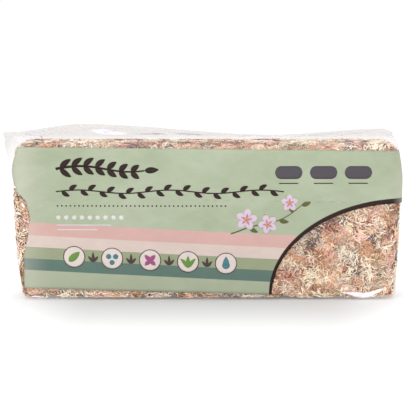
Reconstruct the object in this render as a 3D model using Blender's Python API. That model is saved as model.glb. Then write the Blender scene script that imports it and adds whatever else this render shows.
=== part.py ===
"""A pressed clump of dried sphagnum moss in its clear film bag, with a printed layer on the bag's front.

The brick stands on its long narrow side: X runs along its length, Y through its thickness with the front
at -Y, and Z up. The origin is the middle of the footprint, on the surface that the bag stands on.
"""

import math
import random

import bmesh
import bpy
import numpy as np
from mathutils import Vector, noise
from mathutils.bvhtree import BVHTree

MM = 0.001

# The space that the moss fills. Its ends taper from the belly down to the foot, and its faces are crowned.
BRICK_TOP = 135 * MM
BRICK_HALF_LENGTH = 164 * MM
BRICK_HALF_DEPTH = 21 * MM
BELLY_HEIGHT = 107 * MM
FOOT_TAPERS = (6.5 * MM, 3.5 * MM)
SHOULDER_TAPERS = (3 * MM, 5 * MM)
CORNER_RADIUS = 9 * MM
TOP_EDGE_RADIUS = 10 * MM
FOOT_EDGE_RADIUS = 4.5 * MM
FACE_CROWN = 2.4 * MM

# Film, print and the running gaps that keep the solids apart, as offsets outwards from the moss.
GAP = 0.3 * MM
FILM_THICKNESS = 0.5 * MM
PRINT_THICKNESS = 0.4 * MM
FILM_INSIDE = GAP
FILM_OUTSIDE = FILM_INSIDE + FILM_THICKNESS
PRINT_INSIDE = FILM_OUTSIDE + GAP
PRINT_OUTSIDE = PRINT_INSIDE + PRINT_THICKNESS
BRICK_FOOT = FILM_OUTSIDE

# Where the sealed ridge of the loose film over the brick runs, as (x, y, z), from the ear at the left.
RIDGE_LINE = (
    (-172 * MM, -1 * MM, 141 * MM),
    (-106 * MM, 0 * MM, 148 * MM),
    (57 * MM, 6 * MM, 138.5 * MM),
    (150 * MM, 2 * MM, 144 * MM),
    (157 * MM, 1 * MM, 141.5 * MM),
)
FLARE_FOOT = 112 * MM
SEAL_HEIGHT = 2.4 * MM
SEAL_HALF_DEPTH = 0.8 * MM
SEAL_HOLLOW_HALF_DEPTH = 0.3 * MM
GABLE_ARC_DEGREES = (20, 40, 60, 90)

# Two punched holes in the back of the bag let the air out when the moss is pressed.
VENT_RADIUS = 3 * MM
VENT_PLACES = ((-70 * MM, 96 * MM), (70 * MM, 96 * MM))
VENT_SIDES = 10

# Printed layer, as its outline is seen from the front. It hangs a little lower at the right.
PRINT_TOP = 129 * MM
PRINT_TOP_SLOPE = -0.010
PRINT_FOOT = 8 * MM
PRINT_FOOT_SLOPE = -0.026
PRINT_WRAP_DEPTH = 8 * MM
PRINT_LEFT_EDGE = (
    (0 * MM, -155.5 * MM),
    (34 * MM, -154.5 * MM),
    (55 * MM, -150.5 * MM),
    (69 * MM, -148.7 * MM),
    (81 * MM, -151 * MM),
    (93 * MM, -160 * MM),
    (107 * MM, -163.6 * MM),
    (133 * MM, -157 * MM),
)
PRINT_LEFT_STEPS = 14
WINDOW_CENTRE_X = 166 * MM
WINDOW_HALF_WIDTH = 111 * MM
WINDOW_TOP = 86 * MM
WINDOW_STEPS = 12

# The brick's skin is combed into rows of strands, which swirl. A row of crests lies between two rows of
# valleys, and a strand's profile gives the share of its full rise at each column from its tail to its head.
MOULD_CLEARANCE = 0.1 * MM
SKIN_DEPTH = 4.4 * MM
ROW_PITCH = 4.7 * MM
STRAND_RISE = 2.2 * MM
STRAND_PROFILE = (0.1, 0.85, 0.55, 1.0, 0.7)
STRAND_STAGGER = 3
SWIRL = 26 * MM
SWIRLS_PER_METRE = 13
SWIRL_FIELDS = ((0, 0, 0), (30, 0, 0), (0, 30, 0))
COLUMN_JITTER = 2.5 * MM
CAP_HALF_DEPTH = 2 * MM

# Leafy stems that lie matted across the strands. Their profile gives, from the tail to the tufted head, the
# shares of the full half-width and of the full rise.
SEED = 97
STEM_TRIES = 2600
STEM_SPACING = 13 * MM
STEM_HALF_WIDTH = 5.2 * MM
STEM_RISE = 3.9 * MM
STEM_ROOT_DEPTH = 0.6 * MM
STEM_SHORTEST = 36 * MM
STEM_LONGEST = 54 * MM
STEM_BEND_DEGREES = 22
STEM_PROFILE = ((0.2, -0.1), (0.85, 0.85), (0.6, 0.8), (1.0, 1.0), (0.35, -0.05))

# Fineness of the meshes.
CORNER_STEPS = 2
EDGE_STEPS = 2
MOSS_STEPS = 27
FILM_STEPS = 14
FILM_WALL_STEPS = 4


def along(points, at):
    """Reads the values that follow the first one of each point, eased between the points."""
    for low, high in zip(points, points[1:]):
        if at <= high[0]:
            share = min(1.0, max(0.0, (at - low[0]) / (high[0] - low[0])))
            eased = share * share * (3 - 2 * share)
            return tuple(a + (b - a) * eased for a, b in zip(low[1:], high[1:]))
    return points[-1][1:]


def half_lengths(z):
    """Half the brick's length at height z, to the left and to the right of the origin."""
    below = max(0.0, (BELLY_HEIGHT - z) / BELLY_HEIGHT) ** 3
    above = max(0.0, (z - BELLY_HEIGHT) / (BRICK_TOP - BELLY_HEIGHT)) ** 1.2
    return tuple(
        BRICK_HALF_LENGTH - foot * below - shoulder * above
        for foot, shoulder in zip(FOOT_TAPERS, SHOULDER_TAPERS)
    )


def crown(z):
    """How far the middle of the front and back faces stands proud at height z."""
    middle = BRICK_TOP / 2
    return FACE_CROWN * max(0.0, 1 - ((z - middle) / middle) ** 2)


def ring(left, right, half_depth, corner, bulge, steps):
    """A rounded rectangle from above, as (x, y) pairs: the front from left to right, then the back."""
    corner = min(corner, half_depth)
    front = [(-left, 0.0)]
    for centre, start in ((corner - left, 180), (right - corner, 270)):
        for step in range(CORNER_STEPS + 1):
            angle = math.radians(start + 90 * step / CORNER_STEPS)
            front.append((centre + corner * math.cos(angle), corner - half_depth + corner * math.sin(angle)))
        if start == 180:
            run = right + left - 2 * corner
            front += [(centre + run * step / steps, -half_depth) for step in range(1, steps)]
    front.append((right, 0.0))
    middle = (right - left) / 2
    reach = (right + left) / 2
    shaped = []
    for x, y in front:
        swell = bulge * (1 - ((x - middle) / reach) ** 2)
        shaped.append((x, y - swell))
    return shaped + [(x, -y) for x, y in shaped[-2:0:-1]]


def brick_ring(z, offset, outset, steps):
    """The brick's ring at height z, offset clear of its walls, and drawn in by a negative outset."""
    left, right = half_lengths(z)
    grow = offset + outset
    corner = max(CORNER_RADIUS + grow, GAP)
    return ring(left + grow, right + grow, BRICK_HALF_DEPTH + grow, corner, crown(z), steps)


def foot_levels(offset):
    """Rings of the rounded foot edge, as (height, outset), from the flat foot up to the wall."""
    reach = FOOT_EDGE_RADIUS + offset
    for step in range(EDGE_STEPS):
        angle = math.radians(90 * step / EDGE_STEPS)
        yield BRICK_FOOT + FOOT_EDGE_RADIUS - reach * math.cos(angle), reach * math.sin(angle) - reach


def wall_levels(steps):
    """Rings of the upright wall, from the foot edge to the top edge, both included."""
    low = BRICK_FOOT + FOOT_EDGE_RADIUS
    high = BRICK_TOP - TOP_EDGE_RADIUS
    for step in range(steps + 1):
        yield low + (high - low) * step / steps, 0.0


def top_levels(offset, degrees):
    """Rings of the rounded top edge, for angles up from the wall."""
    reach = TOP_EDGE_RADIUS + offset
    for angle in map(math.radians, degrees):
        yield BRICK_TOP - TOP_EDGE_RADIUS + reach * math.sin(angle), reach * math.cos(angle) - reach


def add_ring(mesh, flat, heights):
    """Adds the vertices of one ring at the height of each of its points."""
    return [mesh.verts.new((x, y, z)) for (x, y), z in zip(flat, heights)]


def bridge(mesh, low, high):
    """Joins two rings with quads that face outwards when the rings run anticlockwise."""
    for index in range(len(low)):
        after = (index + 1) % len(low)
        mesh.faces.new((low[index], low[after], high[after], high[index]))


def close_ring(mesh, loop, facing_down):
    """Fills a ring with a strip of faces from its front to its back."""
    count = len(loop)
    for index in range(count // 2):
        corners = [loop[index], loop[index + 1], loop[count - index - 1], loop[-index]]
        face = list(dict.fromkeys(corners))
        mesh.faces.new(reversed(face) if facing_down else face)


def close_body(mesh, loops):
    """Skins a stack of rings and fills its two ends."""
    for low, high in zip(loops, loops[1:]):
        bridge(mesh, low, high)
    close_ring(mesh, loops[0], facing_down=True)
    close_ring(mesh, loops[-1], facing_down=False)


def object_from(name, mesh, material, smooth_degrees=40):
    """Turns a bmesh into an object in the scene, with smooth shading below the given angle."""
    data = bpy.data.meshes.new(name)
    mesh.to_mesh(data)
    mesh.free()
    data.shade_smooth()
    data.set_sharp_from_angle(angle=math.radians(smooth_degrees))
    data.materials.append(material)
    made = bpy.data.objects.new(name, data)
    bpy.context.scene.collection.objects.link(made)
    return made


def plain_material(name, colour, roughness, alpha=1.0):
    """A Principled material of one colour."""
    material = bpy.data.materials.new(name)
    material.use_nodes = True
    shader = material.node_tree.nodes["Principled BSDF"]
    shader.inputs["Base Color"].default_value = (*colour, 1.0)
    shader.inputs["Roughness"].default_value = roughness
    shader.inputs["Metallic"].default_value = 0.0
    shader.inputs["Alpha"].default_value = alpha
    return material


def apply_boolean(target, operation, cutter=None, collection=None, solver="EXACT"):
    """Applies one Boolean to target and removes the objects that it used."""
    modifier = target.modifiers.new(operation.lower(), "BOOLEAN")
    modifier.operation = operation
    modifier.solver = solver
    if collection is None:
        modifier.object = cutter
        used = [cutter]
    else:
        modifier.operand_type = "COLLECTION"
        modifier.collection = collection
        used = list(collection.objects)
    bpy.context.view_layer.objects.active = target
    bpy.ops.object.modifier_apply(modifier=modifier.name)
    for other in used:
        bpy.data.objects.remove(other)
    if collection is not None:
        bpy.data.collections.remove(collection)


def skin_levels():
    """Evenly spaced rings from the middle of the foot to the middle of the top, as (height, outset)."""
    foot_reach = FOOT_EDGE_RADIUS - SKIN_DEPTH + STRAND_RISE
    top_reach = TOP_EDGE_RADIUS - SKIN_DEPTH + STRAND_RISE
    flat_foot = BRICK_HALF_DEPTH - CAP_HALF_DEPTH - foot_reach
    flat_top = BRICK_HALF_DEPTH - CAP_HALF_DEPTH - top_reach
    low = BRICK_FOOT + FOOT_EDGE_RADIUS
    high = BRICK_TOP - TOP_EDGE_RADIUS
    lengths = (flat_foot, math.pi / 2 * foot_reach, high - low, math.pi / 2 * top_reach, flat_top)
    rows = round(sum(lengths) / ROW_PITCH)
    for row in range(rows + 1):
        walked = sum(lengths) * row / rows
        legs = list(lengths)
        while len(legs) > 1 and walked > legs[0]:
            walked -= legs.pop(0)
        share = min(1.0, walked / legs[0])
        quarter = math.radians(90 * share)
        if len(legs) == 5:
            yield low - foot_reach, -foot_reach - flat_foot * (1 - share)
        elif len(legs) == 4:
            yield low - foot_reach * math.cos(quarter), foot_reach * (math.sin(quarter) - 1)
        elif len(legs) == 3:
            yield low + (high - low) * share, 0.0
        elif len(legs) == 2:
            yield high + top_reach * math.sin(quarter), top_reach * (math.cos(quarter) - 1)
        else:
            yield high + top_reach, -top_reach - flat_top * share


def swirl_at(place):
    """How far the strands at a place are swept aside, which changes slowly over the brick."""
    at = place * SWIRLS_PER_METRE
    return SWIRL * Vector([noise.noise(at + Vector(apart)) for apart in SWIRL_FIELDS])


def combed_skin(material, draw):
    """The matted inside of the brick, with its skin raised into swirling rows of strands."""
    lying = BVHTree.FromBMesh(smooth_brick(STRAND_RISE - SKIN_DEPTH))
    mesh = bmesh.new()
    loops = []
    for z, outset in skin_levels():
        flat = brick_ring(z, STRAND_RISE - SKIN_DEPTH, outset, MOSS_STEPS)
        loops.append(add_ring(mesh, flat, [z] * len(flat)))
    close_body(mesh, loops)
    for row, loop in enumerate(loops):
        for column, vert in enumerate(loop):
            swirl = swirl_at(vert.co)
            swirl.x += COLUMN_JITTER * draw.uniform(-1, 1)
            _, up, _, _ = lying.find_nearest(vert.co)
            place, up, _, _ = lying.find_nearest(vert.co + swirl - up * swirl.dot(up))
            rise = 0.0
            if row % 2:
                rise = STRAND_PROFILE[(column + STRAND_STAGGER * row) % len(STRAND_PROFILE)]
            vert.co = place + up * (rise - 1) * STRAND_RISE
    return object_from("moss_block", mesh, material)


def stem_spine(surface, start, heading, length, bend):
    """Walks over the skin from start, turning at each step. Gives (place, forward, up) for each ring."""
    place, up, _, _ = surface.find_nearest(start)
    forward = heading
    spine = []
    for _ in STEM_PROFILE:
        forward = (forward - up * forward.dot(up)).normalized()
        spine.append((place, forward, up))
        ahead = place + forward * (length / (len(STEM_PROFILE) - 1))
        place, up, _, _ = surface.find_nearest(ahead)
        forward = forward * math.cos(bend) + up.cross(forward) * math.sin(bend)
    return spine


def pressed(mould, point):
    """The point itself, or where the mould's wall holds it back."""
    wall, out, _, _ = mould.find_nearest(point)
    return wall if (point - wall).dot(out) > 0 else point


def leafy_stem(spine, width, mould):
    """One stem with its tufted branches, as a three-sided tapered ridge whose keel is sunk in the skin."""
    mesh = bmesh.new()
    loops = []
    for (place, forward, up), (wide, tall) in zip(spine, STEM_PROFILE):
        side = forward.cross(up) * width * wide
        keel = place - up * STEM_ROOT_DEPTH
        crest = place + up * STEM_RISE * tall
        corners = (keel + side, crest, keel - side)
        loops.append([mesh.verts.new(pressed(mould, corner)) for corner in corners])
    for low, high in zip(loops, loops[1:]):
        bridge(mesh, low, high)
    mesh.faces.new(reversed(loops[0]))
    mesh.faces.new(loops[-1])
    bmesh.ops.recalc_face_normals(mesh, faces=mesh.faces)
    return mesh


def smooth_brick(offset):
    """The brick's plain form, for the stems to lie along."""
    mesh = bmesh.new()
    loops = []
    edge = [90 * step / EDGE_STEPS for step in range(1, EDGE_STEPS + 1)]
    levels = [*foot_levels(offset), *wall_levels(FILM_WALL_STEPS), *top_levels(offset, edge)]
    for z, outset in levels:
        flat = brick_ring(z, offset, outset, FILM_STEPS)
        loops.append(add_ring(mesh, flat, [z] * len(flat)))
    close_body(mesh, loops)
    bmesh.ops.triangulate(mesh, faces=mesh.faces)
    return mesh


def surface_points(mesh, count, draw):
    """Random points spread evenly over a mesh's area, with the way up from its surface at each."""
    chosen = draw.choices(mesh.faces, weights=[face.calc_area() for face in mesh.faces], k=count)
    for face in chosen:
        a, b, c = (vert.co for vert in face.verts)
        u, v = draw.random(), draw.random()
        if u + v > 1:
            u, v = 1 - u, 1 - v
        yield a + (b - a) * u + (c - a) * v, face.normal


def matted_stems(draw):
    """Lays stems over the skin, each one where no other lies too close, until few more fit."""
    lying = smooth_brick(-SKIN_DEPTH)
    lying.normal_update()
    lying.faces.ensure_lookup_table()
    surface = BVHTree.FromBMesh(lying)
    mould = BVHTree.FromBMesh(smooth_brick(-MOULD_CLEARANCE))
    taken = np.full((1, 3), math.inf)
    laid = []
    for start, up in surface_points(lying, STEM_TRIES, draw):
        turn = draw.uniform(0, math.tau)
        across = up.orthogonal().normalized()
        heading = across * math.cos(turn) + up.cross(across) * math.sin(turn)
        length = draw.uniform(STEM_SHORTEST, STEM_LONGEST)
        bend = math.radians(draw.uniform(-STEM_BEND_DEGREES, STEM_BEND_DEGREES))
        width = STEM_HALF_WIDTH * draw.uniform(0.8, 1.1)
        spine = stem_spine(surface, start, heading, length, bend)
        places = np.array([place for place, _, _ in spine])
        places = np.concatenate([places[1:-1], (places[1:] + places[:-1]) / 2])
        apart = np.linalg.norm(places[:, None] - taken[None], axis=2)
        if apart.min() >= STEM_SPACING:
            taken = np.concatenate([taken, places])
            laid.append(leafy_stem(spine, width, mould))
    lying.free()
    return laid


def drop_scraps(target):
    """Keeps only the largest skin of a solid: no sealed hollow inside it, and no loose scrap beside it."""
    mesh = bmesh.new()
    mesh.from_mesh(target.data)
    unseen = set(mesh.verts)
    skins = []
    while unseen:
        first = unseen.pop()
        skin = [first]
        for vert in skin:
            near = {edge.other_vert(vert) for edge in vert.link_edges} & unseen
            unseen -= near
            skin.extend(near)
        skins.append(skin)
    skins.sort(key=len)
    for skin in skins[:-1]:
        bmesh.ops.delete(mesh, geom=skin, context="VERTS")
    mesh.to_mesh(target.data)
    mesh.free()


def moss_block():
    """The pressed clump: a combed skin with leafy stems fused to it on every side, as one body."""
    material = plain_material("dried_sphagnum", (0.62, 0.47, 0.33), 0.9)
    draw = random.Random(SEED)
    block = combed_skin(material, draw)
    stems = bpy.data.collections.new("stems")
    bpy.context.scene.collection.children.link(stems)
    for index, mesh in enumerate(matted_stems(draw)):
        stem = object_from(f"stem_{index}", mesh, material)
        bpy.context.scene.collection.objects.unlink(stem)
        stems.objects.link(stem)
    # The exact solver leaves open edges where this many stems cross the skin.
    apply_boolean(block, "UNION", collection=stems, solver="MANIFOLD")
    drop_scraps(block)


def film_ring(z, offset, outset):
    """The bag's ring at height z. It flares from the shoulder up towards the two ends of the ridge."""
    share = max(0.0, (z - FLARE_FOOT) / (RIDGE_LINE[0][2] - FLARE_FOOT))
    ends = (-RIDGE_LINE[0][0], RIDGE_LINE[-1][0])
    reaches = []
    for here, foot, end in zip(half_lengths(z), half_lengths(FLARE_FOOT), ends):
        reach = max(here, foot + (end - foot) * share) if share else here + outset
        reaches.append(reach + offset)
    half_depth = BRICK_HALF_DEPTH + offset + outset
    return ring(*reaches, half_depth, CORNER_RADIUS + offset, crown(z), FILM_STEPS)


def film_surface(offset, seal_half_depth, seal_drops):
    """The bag's film at an offset from the brick, from the flat foot to the seal of the gable."""
    mesh = bmesh.new()
    loops = []
    levels = [*foot_levels(offset), *wall_levels(FILM_WALL_STEPS), *top_levels(offset, GABLE_ARC_DEGREES)]
    for z, outset in levels:
        flat = film_ring(z, offset, outset)
        loops.append(add_ring(mesh, flat, [z] * len(flat)))
    for drop in seal_drops:
        ends = (offset - RIDGE_LINE[0][0], offset + RIDGE_LINE[-1][0])
        flat = ring(*ends, seal_half_depth, CORNER_RADIUS, 0.0, FILM_STEPS)
        ridge = [along(RIDGE_LINE, x) for x, _ in flat]
        leaning = [(x, y + lean) for (x, y), (lean, _) in zip(flat, ridge)]
        loops.append(add_ring(mesh, leaning, [height - drop for _, height in ridge]))
    close_body(mesh, loops)
    return mesh


def vent_cutter(x, z):
    """A short rod that passes through the back of the bag only."""
    mesh = bmesh.new()
    bmesh.ops.create_cone(
        mesh,
        cap_ends=True,
        segments=VENT_SIDES,
        radius1=VENT_RADIUS,
        radius2=VENT_RADIUS,
        depth=BRICK_HALF_DEPTH,
    )
    cutter = object_from("vent_cutter", mesh, plain_material("cutter", (1.0, 0.0, 0.0), 0.5))
    cutter.location = (x, 1.5 * BRICK_HALF_DEPTH, z)
    cutter.rotation_euler.x = math.radians(90)
    return cutter


def film_bag():
    """The clear bag: a film wall all round the brick, closed by a seal along the ridge of its gable."""
    material = plain_material("clear_film", (0.93, 0.93, 0.94), 0.15, alpha=0.18)
    bag = object_from("film_bag", film_surface(FILM_OUTSIDE, SEAL_HALF_DEPTH, (SEAL_HEIGHT, 0.0)), material)
    hollow = film_surface(FILM_INSIDE, SEAL_HOLLOW_HALF_DEPTH, (SEAL_HEIGHT,))
    hollow_cutter = object_from("hollow_cutter", hollow, material)
    # The exact solver leaves open edges on a film this thin.
    apply_boolean(bag, "DIFFERENCE", cutter=hollow_cutter, solver="MANIFOLD")
    for x, z in VENT_PLACES:
        apply_boolean(bag, "DIFFERENCE", cutter=vent_cutter(x, z))


def print_sleeve():
    """A thin wall round the front half of the bag, from which the printed layer is cut."""
    mesh = bmesh.new()
    sheets = []
    for offset in (PRINT_INSIDE, PRINT_OUTSIDE):
        edge = top_levels(offset, GABLE_ARC_DEGREES[:-1])
        levels = [*foot_levels(offset), *wall_levels(FILM_WALL_STEPS), *edge]
        rows = []
        for z, outset in levels[1:]:
            flat = film_ring(z, offset, outset)
            front = flat[: len(flat) // 2 + 1]
            rows.append(add_ring(mesh, front, [z] * len(front)))
        sheets.append(rows)
    for rows in sheets:
        for low, high in zip(rows, rows[1:]):
            for index in range(len(low) - 1):
                mesh.faces.new((low[index], low[index + 1], high[index + 1], high[index]))
    rims = []
    for rows in sheets:
        right_side = [row[-1] for row in rows[1:-1]]
        left_side = [row[0] for row in rows[-2:0:-1]]
        rims.append(rows[0] + right_side + rows[-1][::-1] + left_side)
    bridge(mesh, *rims)
    bmesh.ops.recalc_face_normals(mesh, faces=mesh.faces)
    return mesh


def print_outline():
    """The printed layer's outline from the front, anticlockwise from its lower left, as (x, z) pairs."""
    beyond = BRICK_HALF_LENGTH + CORNER_RADIUS
    window_foot = PRINT_FOOT + PRINT_FOOT_SLOPE * (WINDOW_CENTRE_X - WINDOW_HALF_WIDTH)
    outline = []
    for step in range(WINDOW_STEPS + 1):
        angle = math.radians(90 * step / WINDOW_STEPS)
        x = WINDOW_CENTRE_X - WINDOW_HALF_WIDTH * math.cos(angle)
        outline.append((x, window_foot + (WINDOW_TOP - window_foot) * math.sin(angle)))
    outline.append((beyond, WINDOW_TOP))
    outline.append((beyond, PRINT_TOP + PRINT_TOP_SLOPE * beyond))
    for step in range(PRINT_LEFT_STEPS + 1):
        share = step / PRINT_LEFT_STEPS
        (x,) = along(PRINT_LEFT_EDGE, PRINT_TOP + (PRINT_FOOT - PRINT_TOP) * share)
        high, low = PRINT_TOP + PRINT_TOP_SLOPE * x, PRINT_FOOT + PRINT_FOOT_SLOPE * x
        outline.append((x, high + (low - high) * share))
    return outline


def front_label():
    """The opaque printed layer: the sleeve, trimmed to its outline and to the depth that it wraps back."""
    material = plain_material("printed_film", (0.53, 0.56, 0.42), 0.45)
    label = object_from("front_label", print_sleeve(), material)
    mesh = bmesh.new()
    front = [mesh.verts.new((x, -2 * BRICK_HALF_DEPTH, z)) for x, z in print_outline()]
    back = [mesh.verts.new((x, -PRINT_WRAP_DEPTH, z)) for x, z in print_outline()]
    mesh.faces.new(front)
    mesh.faces.new(reversed(back))
    bridge(mesh, back, front)
    bmesh.ops.recalc_face_normals(mesh, faces=mesh.faces)
    apply_boolean(label, "INTERSECT", cutter=object_from("outline_cutter", mesh, material))


def main():
    for old in list(bpy.data.objects):
        bpy.data.objects.remove(old)
    moss_block()
    film_bag()
    front_label()


main()
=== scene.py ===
"""Looks of a pressed sphagnum brick in its clear film bag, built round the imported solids.

X runs along the brick, the printed front faces -Y and Z is up. Lengths are in metres. The tables of drawn
shapes, folds and creases are in millimetres.
"""

import math

import bmesh
import bpy
import numpy as np
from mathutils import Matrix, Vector, noise
from mathutils.bvhtree import BVHTree


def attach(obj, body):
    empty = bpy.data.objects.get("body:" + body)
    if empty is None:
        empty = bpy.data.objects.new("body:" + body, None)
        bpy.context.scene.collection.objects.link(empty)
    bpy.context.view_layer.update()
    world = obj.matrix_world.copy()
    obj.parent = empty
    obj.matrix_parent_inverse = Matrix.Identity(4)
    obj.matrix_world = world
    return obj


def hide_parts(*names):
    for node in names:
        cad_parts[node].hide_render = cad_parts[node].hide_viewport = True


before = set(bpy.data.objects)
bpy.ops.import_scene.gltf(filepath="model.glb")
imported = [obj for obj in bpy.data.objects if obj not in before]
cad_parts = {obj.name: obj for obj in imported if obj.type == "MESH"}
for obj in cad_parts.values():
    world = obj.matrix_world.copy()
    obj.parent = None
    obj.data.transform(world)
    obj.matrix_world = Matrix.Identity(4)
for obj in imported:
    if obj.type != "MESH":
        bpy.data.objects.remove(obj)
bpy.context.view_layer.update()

MM = 0.001
SEED = 11


def mm(*rows):
    """Rows of millimetres as metres."""
    return tuple(tuple(value * MM for value in row) for row in rows)


# The form of the solids, from the same named values as the part's source.
BRICK_TOP = 135 * MM
BRICK_HALF_LENGTH = 164 * MM
BRICK_HALF_DEPTH = 21 * MM
BELLY_HEIGHT = 107 * MM
FOOT_TAPERS = (6.5 * MM, 3.5 * MM)
SHOULDER_TAPERS = (3 * MM, 5 * MM)
CORNER_RADIUS = 9 * MM
TOP_EDGE_RADIUS = 10 * MM
FOOT_EDGE_RADIUS = 4.5 * MM
FACE_CROWN = 2.4 * MM
BRICK_FOOT = 0.8 * MM
FOOT_EDGE = BRICK_FOOT + FOOT_EDGE_RADIUS
TOP_EDGE = BRICK_TOP - TOP_EDGE_RADIUS
RIDGE_LINE = mm((-172, -1, 141), (-106, 0, 148), (57, 6, 138.5), (150, 2, 144), (157, 1, 141.5))
FLARE_FOOT = 112 * MM
SEAL_HEIGHT = 2.4 * MM
SEAL_HALF_DEPTH = 0.8 * MM
VENT_RADIUS = 3 * MM
VENT_PLACES = mm((-70, 96), (70, 96))
PRINT_TOP = 129 * MM
PRINT_TOP_SLOPE = -0.010
PRINT_FOOT = 8 * MM
PRINT_FOOT_SLOPE = -0.026
PRINT_WRAP_DEPTH = 8 * MM
PRINT_LEFT_EDGE = mm(
    (0, -155.5), (34, -154.5), (55, -150.5), (69, -148.7), (81, -151), (93, -160), (107, -163.6), (133, -157)
)
WINDOW_CENTRE_X = 166 * MM
WINDOW_HALF_WIDTH = 111 * MM
WINDOW_TOP = 86 * MM
WINDOW_FOOT = PRINT_FOOT + PRINT_FOOT_SLOPE * (WINDOW_CENTRE_X - WINDOW_HALF_WIDTH)
WINDOW_HEIGHT = WINDOW_TOP - WINDOW_FOOT

# Fine film and print, as offsets outwards from the moss.
FILM_OFFSET = 0.6 * MM
FILM_SKIN = 0.1 * MM
PRINT_OFFSET = 0.95 * MM
PRINT_SKIN = 0.12 * MM
INK_LIFT = 0.09 * MM
FOLD_LIFT = 0.12 * MM
SHAPE_SKIN = 0.04 * MM


def srgb(red, green, blue):
    """An 8-bit display colour as linear values."""
    values = []
    for value in (red / 255, green / 255, blue / 255):
        linear = value / 12.92 if value <= 0.04045 else ((value + 0.055) / 1.055) ** 2.4
        values.append(min(0.98, linear))
    return tuple(values)


# The form of the brick and the bag


def along(points, at):
    """Reads the values that follow the first one of each point, eased between the points."""
    for low, high in zip(points, points[1:]):
        if at <= high[0]:
            share = min(1.0, max(0.0, (at - low[0]) / (high[0] - low[0])))
            eased = share * share * (3 - 2 * share)
            return tuple(a + (b - a) * eased for a, b in zip(low[1:], high[1:]))
    return points[-1][1:]


def half_lengths(z):
    """Half the brick's length at height z, to the left and to the right of the origin."""
    below = max(0.0, (BELLY_HEIGHT - z) / BELLY_HEIGHT) ** 3
    above = max(0.0, (z - BELLY_HEIGHT) / (BRICK_TOP - BELLY_HEIGHT)) ** 1.2
    return tuple(
        BRICK_HALF_LENGTH - foot * below - shoulder * above
        for foot, shoulder in zip(FOOT_TAPERS, SHOULDER_TAPERS)
    )


def crown(z):
    """How far the middle of the front and back faces stands proud at height z."""
    middle = BRICK_TOP / 2
    return FACE_CROWN * max(0.0, 1 - ((z - middle) / middle) ** 2)


class Ring:
    """A rounded rectangle from above, which gives (x, y) at a distance walked from the front's middle."""

    def __init__(self, left, right, half_depth, corner, bulge):
        self.corner, self.half_depth, self.bulge = min(corner, half_depth), half_depth, bulge
        self.middle, self.reach = (right - left) / 2, (right + left) / 2
        self.straight = self.reach - self.corner
        self.bend = self.corner * math.pi / 2
        self.quarter = self.straight + self.bend + self.half_depth - self.corner

    def at(self, walked):
        """The place for a distance to the right, or to the left where it is negative."""
        side = 1 if walked >= 0 else -1
        walked, face = abs(walked), -1
        if walked > self.quarter:
            walked, face = 2 * self.quarter - walked, 1
        if walked <= self.straight:
            x, y = walked, self.half_depth
        elif walked <= self.straight + self.bend:
            angle = (walked - self.straight) / self.corner
            x = self.straight + self.corner * math.sin(angle)
            y = self.half_depth - self.corner * (1 - math.cos(angle))
        else:
            x, y = self.reach, self.half_depth - self.corner - (walked - self.straight - self.bend)
        y += self.bulge * (1 - (x / self.reach) ** 2)
        return self.middle + side * x, face * y

    def walk_to(self, x):
        """How far to walk over the front to reach x, or None past the end."""
        ahead = abs(x - self.middle)
        if ahead >= self.reach:
            return None
        if ahead > self.straight:
            ahead = self.straight + self.corner * math.asin((ahead - self.straight) / self.corner)
        return math.copysign(ahead, x - self.middle)


def brick_ring(z, offset, outset):
    left, right = half_lengths(z)
    grow = offset + outset
    corner = max(CORNER_RADIUS + grow, 0.3 * MM)
    return Ring(left + grow, right + grow, BRICK_HALF_DEPTH + grow, corner, crown(z))


def film_ring(z, offset, outset):
    """The bag's ring at height z. It flares from the shoulder up towards the two ends of the ridge."""
    share = max(0.0, (z - FLARE_FOOT) / (RIDGE_LINE[0][2] - FLARE_FOOT))
    ends = (-RIDGE_LINE[0][0], RIDGE_LINE[-1][0])
    reaches = []
    for here, foot, end in zip(half_lengths(z), half_lengths(FLARE_FOOT), ends):
        reach = max(here, foot + (end - foot) * share) if share else here + outset
        reaches.append(reach + offset)
    return Ring(*reaches, BRICK_HALF_DEPTH + offset + outset, CORNER_RADIUS + offset, crown(z))


def levels(offset, foot_steps, wall_steps, top_steps):
    """Rings from the flat foot over its rounded edge and the wall to the top face, as (height, outset)."""
    rings = []
    reach = FOOT_EDGE_RADIUS + offset
    for step in range(foot_steps):
        angle = math.radians(90 * step / foot_steps)
        rings.append((FOOT_EDGE - reach * math.cos(angle), reach * math.sin(angle) - reach))
    for step in range(wall_steps + 1):
        rings.append((FOOT_EDGE + (TOP_EDGE - FOOT_EDGE) * step / wall_steps, 0.0))
    reach = TOP_EDGE_RADIUS + offset
    for step in range(1, top_steps + 1):
        angle = math.radians(90 * step / top_steps)
        rings.append((TOP_EDGE + reach * math.sin(angle), reach * math.cos(angle) - reach))
    return rings


def level_at(z, offset):
    """The outset of the foot or top edge at height z."""
    for radius, beyond in ((FOOT_EDGE_RADIUS, FOOT_EDGE - z), (TOP_EDGE_RADIUS, z - TOP_EDGE)):
        if beyond > 0:
            reach = radius + offset
            return math.sqrt(max(0.0, reach**2 - beyond**2)) - reach
    return 0.0


def print_left(z):
    return along(PRINT_LEFT_EDGE, z)[0]


# Meshes and pieces


def new_object(name, data, material):
    data.materials.append(material)
    made = bpy.data.objects.new(name, data)
    bpy.context.scene.collection.objects.link(made)
    return made


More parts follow.
